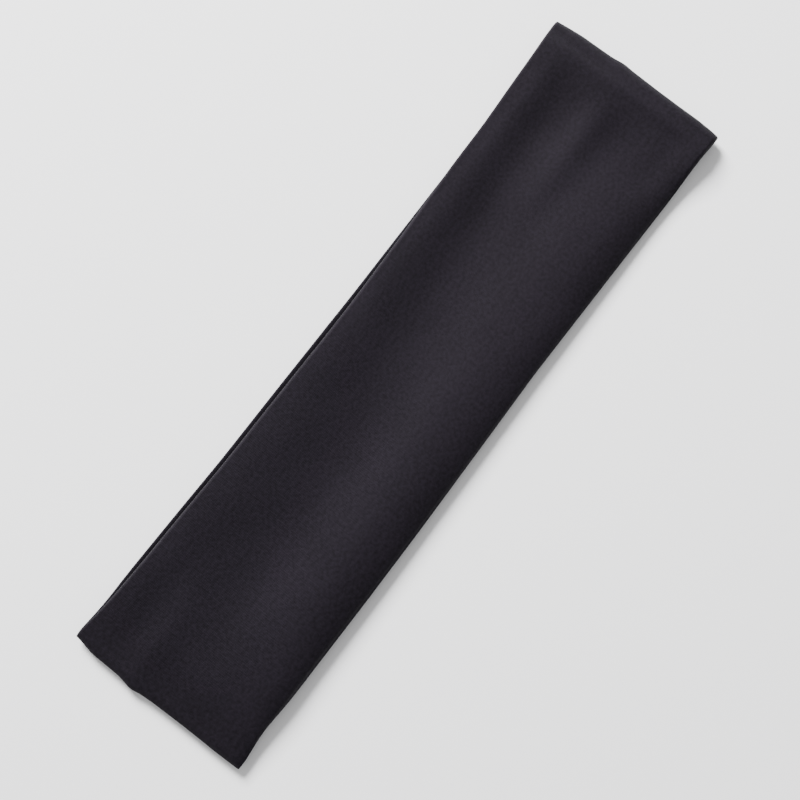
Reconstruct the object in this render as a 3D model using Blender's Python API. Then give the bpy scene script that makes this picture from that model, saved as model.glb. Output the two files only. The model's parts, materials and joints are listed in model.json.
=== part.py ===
"""A sports headband of doubled stretch cloth, sewn into a loop and laid flat.

The loop lies as two runs, one on the other, joined by a fold at each end. Each run is two plies of
cloth. The frame is +X along the band, +Y across it and +Z up, with the origin on the surface that
the band lies on, below its middle. Cloth bends anywhere, so each run is cut into equal links that
hinge on the band's inner face: turned together, they open the flat loop into a round ring.
"""

import math

import bmesh
import bpy
from mathutils import Vector

# Driving dimensions, in metres
BAND_LENGTH = 0.234
BAND_WIDTH = 0.060
CLOTH = 0.0010
THREAD = 0.0003
CLEARANCE = 0.0003
LONG_SEAM_Y = 0.006
LONG_SEAM_WIDTH = 0.0044
BACK_SEAM_HALF_WIDTH = 0.0030
BACK_SEAM_LENGTH = 0.054

LINKS_PER_RUN = 8
EDGE_STEPS = 6
FOLD_STEPS = 14

# Heights out from the plane midway between the runs, and places along the band
INNER_PLY = CLEARANCE / 2
OUTER_PLY = INNER_PLY + CLOTH + CLEARANCE
FOLD_RADIUS = OUTER_PLY + CLOTH
FOLD_X = BAND_LENGTH / 2 - FOLD_RADIUS - CLEARANCE / 2
LINK_LENGTH = 2 * FOLD_X / LINKS_PER_RUN
GROOVE_DEPTH = THREAD + CLEARANCE

# The way out of the loop is up in the upper run and down in the lower one
OUTWARD = {"upper": 1, "lower": -1}

CLOTH_COLOR = (0.020, 0.017, 0.024, 1)
THREAD_COLOR = (0.032, 0.029, 0.037, 1)


def clear_scene():
    for old in list(bpy.data.objects):
        bpy.data.objects.remove(old, do_unlink=True)


def new_collection(name):
    collection = bpy.data.collections.new(name)
    bpy.context.scene.collection.children.link(collection)
    return collection


def new_material(name, color, roughness):
    material = bpy.data.materials.new(name)
    material.use_nodes = True
    shader = material.node_tree.nodes["Principled BSDF"]
    shader.inputs["Base Color"].default_value = color
    shader.inputs["Roughness"].default_value = roughness
    shader.inputs["Metallic"].default_value = 0
    material.diffuse_color = color
    return material


def ply_section(inner_height, groove=False):
    """The (y, height) outline of one ply, round at both long edges.

    The inner ply has a groove for the long seam on the side that faces the outer ply.
    """
    radius = CLOTH / 2
    middle = inner_height + radius
    top = inner_height + CLOTH
    edge = BAND_WIDTH / 2 - radius
    outline = []
    for side, start in ((1, -math.pi / 2), (-1, math.pi / 2)):
        for step in range(EDGE_STEPS + 1):
            turn = start + math.pi * step / EDGE_STEPS
            outline.append((side * edge + radius * math.cos(turn), middle + radius * math.sin(turn)))
        if groove and side == 1:
            half = LONG_SEAM_WIDTH / 2 + CLEARANCE
            floor = top - GROOVE_DEPTH
            outline.append((LONG_SEAM_Y + half, top))
            outline.append((LONG_SEAM_Y + half, floor))
            outline.append((LONG_SEAM_Y - half, floor))
            outline.append((LONG_SEAM_Y - half, top))
    return outline


def seam_section():
    """The (y, height) outline of the long seam, lying in the inner ply's groove."""
    top = INNER_PLY + CLOTH
    left = LONG_SEAM_Y - LONG_SEAM_WIDTH / 2
    right = LONG_SEAM_Y + LONG_SEAM_WIDTH / 2
    return [(left, top - THREAD), (right, top - THREAD), (right, top), (left, top)]


def section_face(bm, section, x, outward):
    corners = [bm.verts.new((x, y, outward * height)) for y, height in section]
    return bm.faces.new(corners)


def finish_mesh(bm, name):
    bmesh.ops.recalc_face_normals(bm, faces=bm.faces[:])
    mesh = bpy.data.meshes.new(name)
    bm.to_mesh(mesh)
    bm.free()
    mesh.shade_smooth()
    mesh.set_sharp_from_angle(angle=math.radians(40))
    return mesh


def straight_mesh(name, section, length, outward):
    """A section drawn out along the band, centred on its own middle."""
    bm = bmesh.new()
    face = section_face(bm, section, -length / 2, outward)
    drawn = bmesh.ops.extrude_face_region(bm, geom=[face], use_keep_orig=True)
    moved = [item for item in drawn["geom"] if isinstance(item, bmesh.types.BMVert)]
    bmesh.ops.translate(bm, verts=moved, vec=(length, 0, 0))
    return finish_mesh(bm, name)


def fold_mesh(name, section, side):
    """A section turned half way round the fold's centre, stopping short of both runs."""
    bm = bmesh.new()
    section_face(bm, section, side * CLEARANCE / 2, 1)
    bmesh.ops.spin(
        bm,
        geom=bm.verts[:] + bm.edges[:],
        cent=(side * CLEARANCE / 2, 0, 0),
        axis=(0, 1, 0),
        angle=side * math.pi,
        steps=FOLD_STEPS,
    )
    open_edges = [edge for edge in bm.edges if edge.is_boundary]
    bmesh.ops.holes_fill(bm, edges=open_edges, sides=0)
    return finish_mesh(bm, name)


def box_mesh(name, size, center):
    bm = bmesh.new()
    bmesh.ops.create_cube(bm, size=1)
    bmesh.ops.scale(bm, vec=size, verts=bm.verts[:])
    bmesh.ops.translate(bm, vec=center, verts=bm.verts[:])
    return finish_mesh(bm, name)


def world_place(item):
    """Where an item stands, with nothing above it turned or scaled."""
    place = Vector((0, 0, 0))
    while item:
        place += item.location
        item = item.parent
    return place


def add_pivot(collection, name, place, parent):
    """An empty on a joint's axis, which carries one link and the next link's pivot."""
    pivot = bpy.data.objects.new(name, None)
    pivot.empty_display_type = "SINGLE_ARROW"
    pivot.empty_display_size = 0.01
    pivot.location = Vector(place) - world_place(parent)
    pivot.parent = parent
    collection.objects.link(pivot)
    return pivot


def add_piece(collection, name, mesh, material, pivot, place):
    """A piece on the plane between the runs, carried by its link's pivot."""
    piece = bpy.data.objects.new(name, mesh)
    piece.parent = pivot
    piece.location = Vector(place) - world_place(pivot)
    if not mesh.materials:
        mesh.materials.append(None)
    piece.material_slots[0].link = "OBJECT"
    piece.material_slots[0].material = material
    collection.objects.link(piece)
    return piece


def link_order():
    """Every link from the back seam round the loop: left, over the top, and back from the right."""
    half = LINKS_PER_RUN // 2
    left = [("lower", number) for number in range(half, 0, -1)]
    top = [("upper", number) for number in range(1, LINKS_PER_RUN + 1)]
    right = [("lower", number) for number in range(LINKS_PER_RUN, half, -1)]
    return left + top + right


def hinge_place(link, before):
    """The axis between two neighbouring links: at a fold's centre, or on the inner face."""
    run, number = link
    run_before, number_before = before
    if run != run_before:
        side = -1 if number == 1 else 1
        return (side * FOLD_X, 0, FOLD_RADIUS)
    x = min(number, number_before) * LINK_LENGTH - FOLD_X
    return (x, 0, FOLD_RADIUS + OUTWARD[run] * INNER_PLY)


def link_center(number):
    return ((number - 0.5) * LINK_LENGTH - FOLD_X, 0, FOLD_RADIUS)


def add_pivots(collection):
    order = link_order()
    pivots = {}
    parent = None
    place = link_center(order[0][1])
    for index, link in enumerate(order):
        if index:
            place = hinge_place(link, order[index - 1])
        parent = add_pivot(collection, f"{link[0]}_{link[1]}_pivot", place, parent)
        pivots[link] = parent
    return pivots


def add_links(collection, pivots, cloth, thread):
    """Two plies of cloth and a stretch of the long seam for each link, on shared meshes."""
    length = LINK_LENGTH - CLEARANCE
    for run, outward in OUTWARD.items():
        outer = straight_mesh(f"{run}_outer", ply_section(OUTER_PLY), length, outward)
        inner = straight_mesh(f"{run}_inner", ply_section(INNER_PLY, groove=True), length, outward)
        seam = straight_mesh(f"{run}_seam", seam_section(), length, outward)
        for number in range(1, LINKS_PER_RUN + 1):
            pivot = pivots[run, number]
            center = link_center(number)
            name = f"{run}_{number}"
            add_piece(collection, f"{name}_outer_ply", outer, cloth, pivot, center)
            add_piece(collection, f"{name}_inner_ply", inner, cloth, pivot, center)
            add_piece(collection, f"{name}_long_seam", seam, thread, pivot, center)


def add_folds(collection, pivots, cloth):
    """The two plies going round each end, carried by the lower run's end link."""
    for name, side, number in (("left", -1, 1), ("right", 1, LINKS_PER_RUN)):
        pivot = pivots["lower", number]
        center = (side * FOLD_X, 0, FOLD_RADIUS)
        for ply, height in (("outer", OUTER_PLY), ("inner", INNER_PLY)):
            mesh = fold_mesh(f"{name}_fold_{ply}", ply_section(height), side)
            add_piece(collection, f"{name}_fold_{ply}_ply", mesh, cloth, pivot, center)


def add_back_seam(collection, cutters, pivots, thread):
    """The flat seam across the lower run's middle, half on each of the links that meet there.

    It lies flush with the band's inner face, in a recess of both inner plies.
    """
    recess = box_mesh(
        "back_seam_recess",
        (
            2 * BACK_SEAM_HALF_WIDTH + 3 * CLEARANCE,
            BACK_SEAM_LENGTH + 2 * CLEARANCE,
            2 * GROOVE_DEPTH,
        ),
        (0, 0, -INNER_PLY),
    )
    cutter = bpy.data.objects.new("back_seam_recess", recess)
    cutter.location = (0, 0, FOLD_RADIUS)
    cutter.hide_render = True
    cutter.display_type = "WIRE"
    cutters.objects.link(cutter)

    half = LINKS_PER_RUN // 2
    for name, side, number in (("left", -1, half), ("right", 1, half + 1)):
        cut = bpy.data.objects[f"lower_{number}_inner_ply"].modifiers.new("back seam recess", "BOOLEAN")
        cut.operation = "DIFFERENCE"
        cut.solver = "EXACT"
        cut.object = cutter
        mesh = box_mesh(
            f"back_seam_{name}",
            (BACK_SEAM_HALF_WIDTH, BACK_SEAM_LENGTH, THREAD),
            (
                side * (BACK_SEAM_HALF_WIDTH + CLEARANCE) / 2,
                0,
                -INNER_PLY - THREAD / 2,
            ),
        )
        place = (0, 0, FOLD_RADIUS)
        add_piece(collection, f"back_seam_{name}_thread", mesh, thread, pivots["lower", number], place)


def main():
    clear_scene()
    band = new_collection("sports headband")
    cutters = new_collection("cutters")
    cloth = new_material("black jersey", CLOTH_COLOR, 0.85)
    thread = new_material("black thread", THREAD_COLOR, 0.7)
    pivots = add_pivots(band)
    add_links(band, pivots, cloth, thread)
    add_folds(band, pivots, cloth)
    add_back_seam(band, cutters, pivots, thread)


main()
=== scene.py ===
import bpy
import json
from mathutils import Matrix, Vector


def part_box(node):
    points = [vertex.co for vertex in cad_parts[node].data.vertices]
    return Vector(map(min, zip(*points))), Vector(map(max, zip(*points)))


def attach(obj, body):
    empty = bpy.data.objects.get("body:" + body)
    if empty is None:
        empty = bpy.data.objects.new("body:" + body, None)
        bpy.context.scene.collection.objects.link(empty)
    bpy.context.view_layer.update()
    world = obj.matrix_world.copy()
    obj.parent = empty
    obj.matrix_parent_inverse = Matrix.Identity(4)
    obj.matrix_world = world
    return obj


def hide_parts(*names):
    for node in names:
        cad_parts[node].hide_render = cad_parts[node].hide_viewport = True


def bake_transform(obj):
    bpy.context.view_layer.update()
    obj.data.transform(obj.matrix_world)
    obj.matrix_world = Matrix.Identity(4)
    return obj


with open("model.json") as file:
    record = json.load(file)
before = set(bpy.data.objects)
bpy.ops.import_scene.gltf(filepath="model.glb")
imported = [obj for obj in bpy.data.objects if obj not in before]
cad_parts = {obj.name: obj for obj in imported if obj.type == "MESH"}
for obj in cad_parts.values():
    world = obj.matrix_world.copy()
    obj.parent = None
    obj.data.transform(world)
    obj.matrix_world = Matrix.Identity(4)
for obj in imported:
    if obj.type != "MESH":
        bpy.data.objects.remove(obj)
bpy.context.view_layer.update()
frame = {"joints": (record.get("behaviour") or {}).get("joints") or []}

import json
import math

import bpy
import numpy as np
from mathutils import Vector, noise

# The headband is one continuous surface: a flat tube of jersey that goes once round the loop. It is
# worked out whole, on a grid of columns along the loop and rows round the tube's section, and then
# cut into pieces at the middles of the CAD links, so that each piece spans one joint.
# Lengths are in metres. "left" across the band is +Y and "right" is -Y.

MM = 0.001
LINKS = 8

# ---------------------------------------------------------------- places taken from the frame

PLACES = {joint["name"]: Vector(joint["pos_m"]) for joint in frame["joints"]}
LEFT_X = PLACES["left_fold_opening"].x
RIGHT_X = PLACES["right_fold_opening"].x
MID_Z = PLACES["right_fold_opening"].z
LINK = (RIGHT_X - LEFT_X) / LINKS
HALF_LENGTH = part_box("right_fold_outer_ply")[1].x
HALF_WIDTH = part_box("upper_1_outer_ply")[1].y
TOP_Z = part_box("upper_1_outer_ply")[1].z
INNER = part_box("upper_1_inner_ply")[0].z - MID_Z
SEAM_Y = sum(corner.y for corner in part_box("upper_1_long_seam")) / 2

# ---------------------------------------------------------------- shape of the laid band

COLUMN = 1.0 * MM
FOLD_COLUMNS = 19
ROLL_ROWS = 9
OUTER_ROWS = 72
INNER_ROWS = 60

# Each long edge's outline and each end's outline, as (share of the way, mm outside the CAD box).
LEFT_OUTLINE = ((-0.1, 0.7), (0, 0.7), (0.05, -0.2), (0.1, -0.1), (0.2, -0.6), (0.28, -1.1),
                (0.4, -1.2), (0.55, -1.5), (0.65, -1.4), (0.75, -1.3), (0.82, -1.3),
                (0.9, -0.4), (0.96, 0.1), (1, 0.7), (1.1, 0.7))
RIGHT_OUTLINE = ((-0.1, 0.8), (0, 0.8), (0.05, -0.4), (0.1, 0.35), (0.25, 0.55), (0.35, 0.5),
                 (0.5, 0.0), (0.61, -0.45), (0.75, -0.1), (0.9, 0.3), (0.96, 0.1), (1, 0.7),
                 (1.1, 0.7))
LEFT_END_OUTLINE = ((-0.1, -0.2), (0, -0.2), (0.05, 0.3), (0.11, 1.0), (0.28, 1.2), (0.365, 2.1),
                    (0.41, 1.45), (0.5, 1.15), (0.65, 1.0), (0.9, 1.0), (1, 0.85), (1.1, 0.85))
RIGHT_END_OUTLINE = ((-0.1, 0.4), (0, 0.4), (0.06, 0.9), (0.15, 1.35), (0.34, 1.55), (0.4, 2.05),
                     (0.46, 1.7), (0.6, 1.4), (0.75, 1.2), (0.88, 1.2), (0.96, 0.8), (1, 0.4),
                     (1.1, 0.4))


def line(points, s, reach):
    """A smooth line through (share, value) points: straight runs, rounded over the reach."""
    knots, values = zip(*points)
    shifts = np.linspace(-reach, reach, 13)
    return sum(np.interp(s + shift, knots, values) for shift in shifts) / len(shifts)


def ease(q):
    """0 up to q = 0 and 1 from q = 1, with a smooth rise between."""
    return (1 - np.cos(np.pi * np.clip(q, 0, 1))) / 2


def dome(q):
    """0 at q = 0, falling ever faster to -1 at q = 1, as a round shoulder does."""
    q = np.clip(q, 0, 1) * 0.96
    return (np.sqrt(1 - q * q) - 1) / (1 - math.sqrt(1 - 0.96**2))


def ramp(distance, steady, reach):
    """A slope of 1 up to the steady distance, easing off to level ground at the reach."""
    easing = np.clip(reach - np.maximum(distance, steady), 0, None)
    return easing**2 / (2 * (reach - steady)) + np.clip(steady - distance, 0, None)


def hump(s, t, s0, t0, s_size, t_size, lean=0.0):
    """A soft bump round (s0, t0), whose line leans across the band by lean per unit of s."""
    across = (t - t0 - lean * (s - s0)) / t_size
    return np.exp(-0.5 * ((s - s0) / s_size) ** 2 - 0.5 * across**2)


def peek(s):
    """How far the lower run looks out past the top run at the left edge, in mm."""
    return line([(0, 0.2), (0.05, 0.8), (0.1, 1.7), (0.5, 1.9), (0.66, 1.1), (0.78, 0.1), (1, 0)],
                s, 0.03)


def left_edge(s, upper):
    """How far the left long edge lies from the middle."""
    return HALF_WIDTH + MM * (line(LEFT_OUTLINE, s, 0.02) - upper * peek(s))


def right_edge(s, upper):
    """How far the right long edge lies from the middle. The lower run is tucked in under it."""
    tuck = line([(0, 0.0), (0.1, 0.5), (0.9, 0.5), (1, 0.0)], s, 0.03)
    return HALF_WIDTH + MM * (line(RIGHT_OUTLINE, s, 0.015) - (1 - upper) * tuck)


def valley_line(s):
    """Where the long shallow valley of the top run lies across the band, from 0 left to 1 right."""
    return line([(0, 0.49), (0.1, 0.49), (0.35, 0.51), (0.5, 0.43), (0.66, 0.37), (0.82, 0.3),
                 (1, 0.24)], s, 0.05)


def right_crest(s):
    """Where the top run's right-hand crest lies across the band, on the valley line's scale."""
    return line([(0, 0.93), (0.1, 0.89), (0.2, 0.83), (0.8, 0.82), (0.9, 0.86), (1, 0.9)], s, 0.04)


def top_height(s, t):
    """The top run's outer surface above the floor."""
    from_left = s * 2 * HALF_LENGTH / MM
    from_right = (1 - s) * 2 * HALF_LENGTH / MM
    left_crest = 0.09
    crest = right_crest(s)
    valley = valley_line(s)
    left = line([(0, 0.0), (0.1, 0.4), (0.9, 0.5), (1, 0.3)], s, 0.03)
    right = line([(0, 0.0), (0.06, 0.3), (0.2, 0.8), (0.85, 0.8), (1, 0.4)], s, 0.03)
    deep = line([(0, -0.1), (0.03, -0.15), (0.08, -0.8), (0.16, -1.5), (0.75, -1.5),
                 (0.88, -0.9), (1, -0.6)], s, 0.03)
    going_down = left + (deep - left) * ease((t - left_crest) / (valley - left_crest))
    going_up = deep + (right - deep) * ease((t - valley) / (crest - valley))
    shape = np.where(t < valley, going_down, going_up)
    drop = line([(0, 0.6), (0.05, 1.0), (0.14, 2.3), (0.84, 2.6), (0.92, 1.3), (1, 0.8)], s, 0.03)
    shape += drop * dome((t - crest) / (1 - crest)) * (t > crest)
    shape += 0.8 * hump(s, t, 0.89, 0.46, 0.07, 0.06, 0.1)
    shape -= 0.3 * hump(s, t, 0.92, 0.60, 0.07, 0.08, 0.2)
    shape -= 0.5 * hump(s, t, 0.12, 0.22, 0.07, 0.075, 0.3)
    shape += 0.4 * hump(s, t, 0.04, 0.34, 0.05, 0.055)
    shape *= 0.12 + 0.88 * ease((from_right - 4) / 18)
    near_end = ease((from_right - 3) / 6) * ease((36 - from_right) / 14)
    shape -= 1.6 * (ease((t - 0.1) / 0.75) - 0.5) * ease((1.02 - t) / 0.2) * near_end
    slope = 0.11 * ramp(from_left, 9, 32) - 0.17 * ramp(from_right, 15, 26)
    slope += 1.2 * ease((7 - from_right) / 5)
    level = line([(0, 0.7), (0.14, 0.7), (0.5, 0.1), (0.8, -0.5), (1, -1.5)], s, 0.04)
    return TOP_Z + MM * (shape + level - slope)


def between_height(s, t):
    """The surface between the two runs: level in the end pieces, lower under edges and valley."""
    drop = 0.9 * ease((t - 0.8) / 0.2)
    drop += 0.75 * np.exp(-0.5 * ((t - valley_line(s)) / 0.14) ** 2)
    inside = ease((s - 0.075) / 0.05) * ease((0.925 - s) / 0.05)
    return MID_Z - MM * drop * inside


def bottom_height(s, t):
    """The lower run's outer surface: flat on the floor, lifting a little towards its long edges
    and at the left fold, with a shallow channel for the back seam's stitches."""
    lift = 0.35 * ease((t - 0.9) / 0.1) + 0.35 * ease((0.08 - t) / 0.08)
    from_left = s * 2 * HALF_LENGTH / MM
    lift = lift + 1.2 * np.clip((25 - from_left) / 22.4, 0, 1) ** 2
    off = (s - 0.5) * 2 * HALF_LENGTH / MM
    return MM * (lift + 0.35 * np.exp(-((off / 3.2) ** 6)))


def seam_mark(y):
    """The long seam on the inner face: a fine drawn-in line, in mm of depth."""
    return 0.3 * np.exp(-0.5 * ((y - SEAM_Y) / MM / 0.4) ** 2)


def lip_groove(left, y, s, upper):
    """The dip behind the lower run's left edge, where it rolls in under the top run."""
    behind = (left - y) / MM - 1.9
    return (1 - upper) * MM * 0.35 * np.exp(-0.5 * (behind / 0.6) ** 2) * ease(peek(s) - 0.5)


def pucker(x_center, y):
    """Small soft unevenness of laid cloth."""
    waves = []
    for x, across in zip(x_center, y):
        soft = noise.noise(Vector((x * 70, across * 110, 3.1)))
        fine = noise.noise(Vector((x * 260, across * 320, 8.7)))
        waves.append(0.10 * soft + 0.02 * fine)
    return MM * np.array(waves)


def stations():
    """Every column round the loop: (place along the band, angle out: 0 is up and pi is down)."""
    per_half_link = round(LINK / 2 / COLUMN)
    along = np.linspace(LEFT_X, RIGHT_X, 2 * LINKS * per_half_link + 1)
    turn = np.linspace(0, np.pi, FOLD_COLUMNS + 1)
    upper = [(x, 0.0) for x in along]
    right = [(RIGHT_X, a) for a in turn[1:-1]]
    lower = [(x, np.pi) for x in along[::-1]]
    left = [(LEFT_X, np.pi + a) for a in turn[1:-1]]
    return np.array(upper + right + lower + left), per_half_link


def section_rows():
    """Every row round the tube: (side, kind, value), where side is 1 outside and -1 inside.

    A flat row's value is its share of the way from the left edge to the right edge, and a roll's
    row has its angle in the rounded long edge. Flat rows are closer together near the edges.
    """
    roll = np.linspace(0, np.pi / 2, ROLL_ROWS + 1)
    rows = []
    for side, count in ((1, OUTER_ROWS), (-1, INNER_ROWS)):
        even = np.linspace(0, 1, count + 1)
        shares = even - 0.1 * np.sin(2 * np.pi * even)
        rows_here = [("left", angle) for angle in roll[:-1]]
        rows_here += [("flat", share) for share in shares]
        rows_here += [("right", angle) for angle in roll[::-1][1:]]
        if side == -1:
            rows_here = rows_here[::-1][1:-1]
        rows += [(side, kind, value) for kind, value in rows_here]
    return rows


def tube_grid():
    """All points of the band's surface, as an array of columns by rows by 3."""
    columns, per_half_link = stations()
    rows = section_rows()
    x_center = columns[:, 0]
    angle = columns[:, 1]
    upper = (1 + np.cos(angle)) / 2
    s = (x_center + HALF_LENGTH) / (2 * HALF_LENGTH)
    left = left_edge(s, upper)
    right = right_edge(s, upper)
    left_roll = MM * line([(0, 0.7), (0.1, 1.0), (0.65, 1.0), (0.8, 0.7), (1, 0.8)], s, 0.03)
    left_roll = upper * left_roll + (1 - upper) * 0.6 * MM
    right_roll = (0.9 + 0.4 * upper) * MM
    points = np.zeros((len(columns), len(rows), 3))
    for index, (side, kind, value) in enumerate(rows):
        lift = 1.0 if kind == "flat" else math.sin(value) ** 0.75
        if kind == "left":
            y = left - left_roll * (1 - math.cos(value))
        elif kind == "right":
            y = -right + right_roll * (1 - math.cos(value))
        else:
            y = left - left_roll - value * (left + right - left_roll - right_roll)
        t = (HALF_WIDTH - y) / (2 * HALF_WIDTH)
        middle = between_height(s, t)
        out_up = top_height(s, t) - middle
        out_down = middle - bottom_height(s, t)
        outer = upper * out_up + (1 - upper) * out_down
        center = (outer + INNER) / 2
        if side == 1:
            height = center + (outer - center) * lift + upper * lift * pucker(x_center, y)
            end_height = (out_up + out_down + 2 * INNER) / 4 * (1 - lift)
            end_height += (out_up + out_down) / 2 * lift
            share = 1.0
        else:
            height = center - (center - INNER) * lift
            height += lift * (lip_groove(left, y, s, upper) + MM * seam_mark(y))
            end_height = (out_up + out_down + 2 * INNER) / 4
            share = 1 - lift
        end = np.where(x_center > 0, line(RIGHT_END_OUTLINE, t, 0.02),
                       line(LEFT_END_OUTLINE, t, 0.02))
        corner = 0.5 * MM * (1 - lift) ** 2
        bulge = HALF_LENGTH + MM * end - RIGHT_X - end_height - corner
        points[:, index, 0] = x_center + np.sin(angle) * (height + bulge * share)
        points[:, index, 1] = y
        points[:, index, 2] = middle + np.cos(angle) * height
    return points, columns, rows, per_half_link


def grid_normals(points):
    """Outward normals of a grid that closes both ways."""
    along = np.roll(points, -1, axis=0) - np.roll(points, 1, axis=0)
    around = np.roll(points, -1, axis=1) - np.roll(points, 1, axis=1)
    normal = np.cross(around, along)
    size = np.linalg.norm(normal, axis=2, keepdims=True)
    return normal / np.maximum(size, 1e-12)


def lengths_along(points, axis):
    """Running length along one way of the grid, on its outer rows or its first column."""
    if axis == 0:
        path = points[:, ROLL_ROWS + OUTER_ROWS // 2]
    else:
        path = points[len(points) // 4]
    closed = np.vstack([path, path[:1]])
    steps = np.linalg.norm(np.diff(closed, axis=0), axis=1)
    return np.concatenate([[0], np.cumsum(steps)])


# ---------------------------------------------------------------- cutting the grid into pieces

points, columns, rows, per_half_link = tube_grid()
normals = grid_normals(points)
along_length = lengths_along(points, 0)
around_length = lengths_along(points, 1)
RUN_COLUMNS = 2 * LINKS * per_half_link
LOWER_START = RUN_COLUMNS + FOLD_COLUMNS
TOTAL_COLUMNS = len(columns)


def upper_column(half_links):
    """The grid column that many half links from the left fold, on the top run."""
    return half_links * per_half_link


def lower_column(half_links):
    """The grid column that many half links from the left fold, on the lower run."""
    return LOWER_START + (2 * LINKS - half_links) * per_half_link


def tube_mesh(name, verts, lengths, material, turned=False):
    """A piece of the tube from rings of points, each at its length along the loop.

    The faces look outward for rings in loop order, or the other way where turned is true.
    """
    count = len(rows)
    faces = []
    uvs = []
    for i in range(len(lengths) - 1):
        u0, u1 = lengths[i], lengths[i + 1]
        for j in range(count):
            k = (j + 1) % count
            v0, v1 = around_length[j], around_length[j + 1]
            face = [i * count + j, i * count + k, (i + 1) * count + k, (i + 1) * count + j]
            corners = [(u0, v0), (u0, v1), (u1, v1), (u1, v0)]
            if turned:
                face = face[:1] + face[:0:-1]
                corners = corners[:1] + corners[:0:-1]
            faces.append(face)
            uvs.append(corners)
    mesh = bpy.data.meshes.new(name)
    mesh.from_pydata(verts, [], faces)
    mesh.uv_layers.new(name="cloth").data.foreach_set("uv", np.array(uvs, np.float32).ravel())
    mesh.materials.append(material)
    mesh.shade_smooth()
    piece = bpy.data.objects.new(name, mesh)
    bpy.context.scene.collection.objects.link(piece)
    return piece


def cloth_piece(name, first, last, material):
    """The stretch of the tube from one column to another, in loop order."""
    picked = [column % TOTAL_COLUMNS for column in range(first, last + 1)]
    verts = [tuple(p) for column in picked for p in points[column]]
    start = along_length[picked[0]]
    lengths = [start + along_run(first, column) for column in range(first, last + 1)]
    piece = tube_mesh(name, verts, lengths, material)
    wanted = [tuple(n) for column in picked for n in normals[column]]
    piece.data.normals_split_custom_set_from_vertices(wanted)
    return piece


def along_run(first, column):
    """Length along the loop from one column to a later one, going over the start if need be."""
    full = along_length[-1]
    laps = column // TOTAL_COLUMNS - first // TOTAL_COLUMNS
    return along_length[column % TOTAL_COLUMNS] - along_length[first % TOTAL_COLUMNS] + laps * full


def declare(nodes):
    """Hides the CAD nodes that a piece stands for."""
    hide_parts(*nodes)


def link_nodes(run, number):
    """The CAD nodes of one link."""
    return [f"{run}_{number}_{part}" for part in ("outer_ply", "inner_ply", "long_seam")]


def make_cloth(material, roll):
    """All the cloth: a piece over each joint. The roll argument is not used."""
    half = LINKS // 2
    # the top run: a piece over each joint between links
    for number in range(1, LINKS):
        first = upper_column(2 * number - 1)
        last = upper_column(2 * number + 1)
        piece = cloth_piece(f"top_cloth_{number}", first, last, material)
        nodes = link_nodes("upper", number) if number > 1 else []
        declare(nodes)
        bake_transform(piece)
    # the lower run, with the back seam in its middle
    for number in list(range(1, half)) + list(range(half + 1, LINKS)):
        left = 2 * number - 1
        right = 2 * number + 1
        if number == half - 1:
            right = 2 * half
        if number == half + 1:
            left = 2 * half
        first = lower_column(right)
        last = lower_column(left)
        piece = cloth_piece(f"lower_cloth_{number}", first, last, material)
        nodes = link_nodes("lower", number) if number > 1 else []
        if number == half - 1:
            nodes = nodes + link_nodes("lower", half)
        declare(nodes)
        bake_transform(piece)
    # the folds at both ends
    right_first = upper_column(2 * LINKS - 1)
    right_last = lower_column(2 * LINKS - 1)
    piece = cloth_piece("right_fold_cloth", right_first, right_last, material)
    nodes = link_nodes("upper", LINKS) + link_nodes("lower", LINKS)
    declare(nodes + ["right_fold_outer_ply", "right_fold_inner_ply"])
    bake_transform(piece)
    left_first = lower_column(1)
    left_last = TOTAL_COLUMNS + upper_column(1)
    piece = cloth_piece("left_fold_cloth", left_first, left_last, material)
    nodes = link_nodes("upper", 1) + link_nodes("lower", 1)
    declare(nodes + ["left_fold_outer_ply", "left_fold_inner_ply"])
    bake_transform(piece)


# ---------------------------------------------------------------- materials

WALE = 0.48 * MM
COURSE = 0.62 * MM
SLANT = 1.6
GRAIN_SCALE = 900
UNEVEN_SCALE = 45


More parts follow.
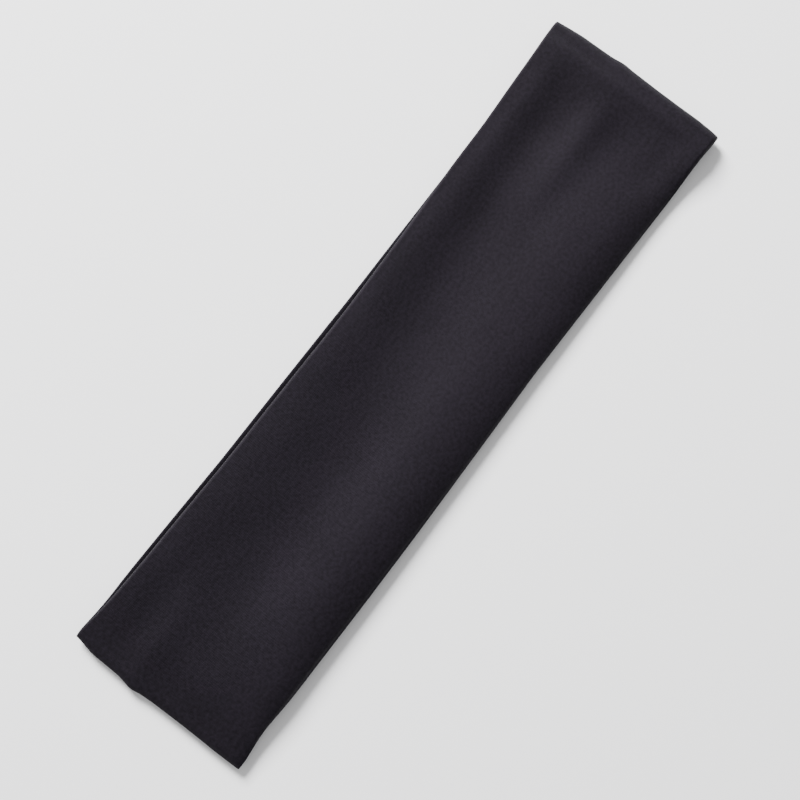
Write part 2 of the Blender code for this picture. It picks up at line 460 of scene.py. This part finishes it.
def jersey_material():
    """Fine black jersey: V stitches, a slightly uneven knit, and a dull sheen."""
    material = bpy.data.materials.new("black jersey")
    material.use_nodes = True
    nodes = material.node_tree.nodes
    links = material.node_tree.links
    shader = nodes["Principled BSDF"]
    shader.inputs["Roughness"].default_value = 0.68
    shader.inputs["Specular IOR Level"].default_value = 0.24
    shader.inputs["Specular Tint"].default_value = (0.46, 0.405, 0.5, 1)
    shader.inputs["Sheen Weight"].default_value = 0.01
    shader.inputs["Sheen Roughness"].default_value = 0.5

    def math_node(operation, a, b=None):
        """A Math node's output. Each input is a number or another node's output."""
        node = nodes.new("ShaderNodeMath")
        node.operation = operation
        for socket, value in zip(node.inputs, (a, b)):
            if value is None:
                continue
            if isinstance(value, (int, float)):
                socket.default_value = value
            else:
                links.new(value, socket)
        return node.outputs[0]

    uv = nodes.new("ShaderNodeUVMap")
    uv.uv_map = "cloth"
    split = nodes.new("ShaderNodeSeparateXYZ")
    links.new(uv.outputs["UV"], split.inputs[0])
    course = math_node("DIVIDE", split.outputs["X"], COURSE)
    wale = math_node("DIVIDE", split.outputs["Y"], WALE)
    in_wale = math_node("FRACT", course)
    from_middle = math_node("ABSOLUTE", math_node("SUBTRACT", in_wale, 0.5))
    slanted = math_node("ADD", wale, math_node("MULTIPLY", from_middle, SLANT))
    leg = math_node("ABSOLUTE", math_node("SINE", math_node("MULTIPLY", slanted, math.pi)))
    groove = math_node("ABSOLUTE", math_node("SINE", math_node("MULTIPLY", in_wale, 2 * math.pi)))
    stitch = math_node("MULTIPLY", leg, math_node("POWER", groove, 0.5))

    def noise_node(scale, detail, roughness):
        """Noise laid on the cloth itself, so that it moves with the cloth."""
        node = nodes.new("ShaderNodeTexNoise")
        node.inputs["Scale"].default_value = scale
        node.inputs["Detail"].default_value = detail
        node.inputs["Roughness"].default_value = roughness
        links.new(uv.outputs["UV"], node.inputs["Vector"])
        return node.outputs["Fac"]

    grain = noise_node(GRAIN_SCALE, 3, 0.6)
    uneven = noise_node(UNEVEN_SCALE, 2, 0.5)
    height = math_node("ADD", math_node("MULTIPLY", stitch, 0.5), math_node("MULTIPLY", grain, 0.8))
    bump = nodes.new("ShaderNodeBump")
    bump.inputs["Strength"].default_value = 0.8
    bump.inputs["Distance"].default_value = 0.09 * MM
    links.new(height, bump.inputs["Height"])
    links.new(bump.outputs["Normal"], shader.inputs["Normal"])

    shade = math_node("ADD", math_node("MULTIPLY", grain, 0.8), math_node("MULTIPLY", uneven, 0.2))
    shade = math_node("ADD", shade, math_node("MULTIPLY", stitch, 0.12))
    ramp = nodes.new("ShaderNodeValToRGB")
    ramp.color_ramp.elements[0].position = 0.38
    ramp.color_ramp.elements[0].color = (0.0012, 0.00095, 0.0015, 1)
    ramp.color_ramp.elements[1].position = 0.7
    ramp.color_ramp.elements[1].color = (0.0063, 0.0050, 0.0077, 1)
    links.new(shade, ramp.inputs["Fac"])
    links.new(ramp.outputs["Color"], shader.inputs["Base Color"])
    return material


def thread_material():
    """Black sewing thread with a fine twist."""
    material = bpy.data.materials.new("black thread")
    material.use_nodes = True
    nodes = material.node_tree.nodes
    links = material.node_tree.links
    shader = nodes["Principled BSDF"]
    shader.inputs["Roughness"].default_value = 0.68
    place = nodes.new("ShaderNodeTexCoord")
    grain = nodes.new("ShaderNodeTexNoise")
    grain.inputs["Scale"].default_value = 4000
    links.new(place.outputs["Object"], grain.inputs["Vector"])
    ramp = nodes.new("ShaderNodeValToRGB")
    ramp.color_ramp.elements[0].color = (0.014, 0.012, 0.017, 1)
    ramp.color_ramp.elements[1].color = (0.034, 0.030, 0.040, 1)
    links.new(grain.outputs["Fac"], ramp.inputs["Fac"])
    links.new(ramp.outputs["Color"], shader.inputs["Base Color"])
    bump = nodes.new("ShaderNodeBump")
    bump.inputs["Strength"].default_value = 0.4
    bump.inputs["Distance"].default_value = 0.05 * MM
    links.new(grain.outputs["Fac"], bump.inputs["Height"])
    links.new(bump.outputs["Normal"], shader.inputs["Normal"])
    return material


def floor_material():
    """A plain matt pale surface."""
    material = bpy.data.materials.new("pale floor")
    material.use_nodes = True
    shader = material.node_tree.nodes["Principled BSDF"]
    shader.inputs["Base Color"].default_value = (0.93, 0.93, 0.94, 1)
    shader.inputs["Roughness"].default_value = 0.9
    shader.inputs["Specular IOR Level"].default_value = 0.1
    return material


# ---------------------------------------------------------------- the back seam

PIVOT_Z = PLACES["lower_3_bend"].z
THREAD = 0.13 * MM
SUNK = 0.06 * MM
SEAM_PITCH = 1.8 * MM
SEAM_REACH = 27 * MM
SEAM_NEAR = 0.2 * MM
SEAM_FAR = 2.6 * MM
ROLL_INSET = 0.985
ROLL_NARROW = 0.9985


def seam_roll(material):
    """The cloth turned in at the back seam, which shows in the gap when the loop is opened."""
    turns = np.radians(np.linspace(-6, 30, 10))
    verts = []
    for turn in turns:
        for _, y, z in points[lower_column(LINKS)]:
            arm = (PIVOT_Z - z) * ROLL_INSET
            verts.append((arm * math.sin(turn), y * ROLL_NARROW, PIVOT_Z - arm * math.cos(turn)))
    roll = tube_mesh("back_seam_roll", verts, PIVOT_Z * turns, material, turned=True)
    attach(roll, "lower_4")
    return roll


def seam_surface(y, outside):
    """Height of the lower run's outer or inner surface at the back seam."""
    s = 0.5
    t = (HALF_WIDTH - y) / (2 * HALF_WIDTH)
    if outside:
        return float(bottom_height(s, t)) - THREAD + SUNK
    return float(between_height(s, t)) - INNER + THREAD - MM * float(seam_mark(y))


def seam_thread(name, side, body, node, material):
    """Half of the flat seam that joins the tube's ends: zigzags and needle lines on both faces."""
    curve = bpy.data.curves.new(name, "CURVE")
    curve.dimensions = "3D"
    curve.bevel_depth = THREAD
    curve.bevel_resolution = 2
    curve.use_fill_caps = True
    count = int(2 * SEAM_REACH / SEAM_PITCH)
    for outside in (False, True):
        zigzag = []
        for step in range(2 * count + 1):
            x = SEAM_NEAR if step % 2 else SEAM_FAR
            y = -SEAM_REACH + step * SEAM_PITCH / 2
            zigzag.append((side * x, y, seam_surface(y, outside)))
        needle = [(side * SEAM_FAR, y, seam_surface(y, outside))
                  for y in np.linspace(-SEAM_REACH, SEAM_REACH, 2 * count + 1)]
        for route in (zigzag, needle):
            spline = curve.splines.new("POLY")
            spline.points.add(len(route) - 1)
            for point, place in zip(spline.points, route):
                point.co = (*place, 1)
    piece = bpy.data.objects.new(name, curve)
    bpy.context.scene.collection.objects.link(piece)
    piece.data.materials.append(material)
    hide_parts(node)
    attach(piece, body)


# ---------------------------------------------------------------- floor, light and camera

FLOOR_SIZE = 8


def aim(item, target):
    """Turns a light or camera to look at a place."""
    item.rotation_euler = (Vector(target) - item.location).to_track_quat("-Z", "Y").to_euler()


def add_floor():
    """The plain surface that the band lies on."""
    bpy.ops.mesh.primitive_plane_add(size=FLOOR_SIZE, location=(0, 0, 0))
    floor = bpy.context.object
    floor.name = "floor"
    floor.data.materials.append(floor_material())


def add_light(name, azimuth, elevation, distance, size, power):
    """A square soft light, placed by its compass angle from +X and its height in degrees."""
    data = bpy.data.lights.new(name, "AREA")
    data.shape = "SQUARE"
    data.size = size
    data.energy = power
    light = bpy.data.objects.new(name, data)
    a = math.radians(azimuth)
    e = math.radians(elevation)
    level = Vector((math.cos(a), math.sin(a), 0)) * math.cos(e)
    light.location = distance * (level + Vector((0, 0, math.sin(e))))
    bpy.context.scene.collection.objects.link(light)
    aim(light, (0, 0, 0))


def add_world(strength):
    """Even white light from all round."""
    world = bpy.data.worlds.new("studio")
    world.use_nodes = True
    background = world.node_tree.nodes["Background"]
    background.inputs["Color"].default_value = (1, 1, 1, 1)
    background.inputs["Strength"].default_value = strength
    bpy.context.scene.world = world


def add_camera():
    """Nearly straight above, with the band running from lower left to upper right."""
    azimuth = math.radians(-52.6)
    elevation = math.radians(82.5)
    target = Vector((-0.0051, -0.0024, 0.0024))
    distance = 0.3952
    data = bpy.data.cameras.new("camera")
    data.lens = 60
    data.sensor_width = 36
    camera = bpy.data.objects.new("camera", data)
    back = Vector((math.sin(azimuth) * math.cos(elevation),
                   -math.cos(azimuth) * math.cos(elevation),
                   math.sin(elevation)))
    camera.location = target + distance * back
    bpy.context.scene.collection.objects.link(camera)
    aim(camera, target)
    bpy.context.scene.camera = camera


jersey = jersey_material()
thread = thread_material()
make_cloth(jersey, seam_roll(jersey))
seam_thread("back_seam_left", -1, "lower_4", "back_seam_left_thread", thread)
seam_thread("back_seam_right", 1, "lower_5", "back_seam_right_thread", thread)
add_floor()
add_light("key", azimuth=63, elevation=34, distance=1.4, size=0.56, power=82)
add_world(strength=0.62)
add_camera()
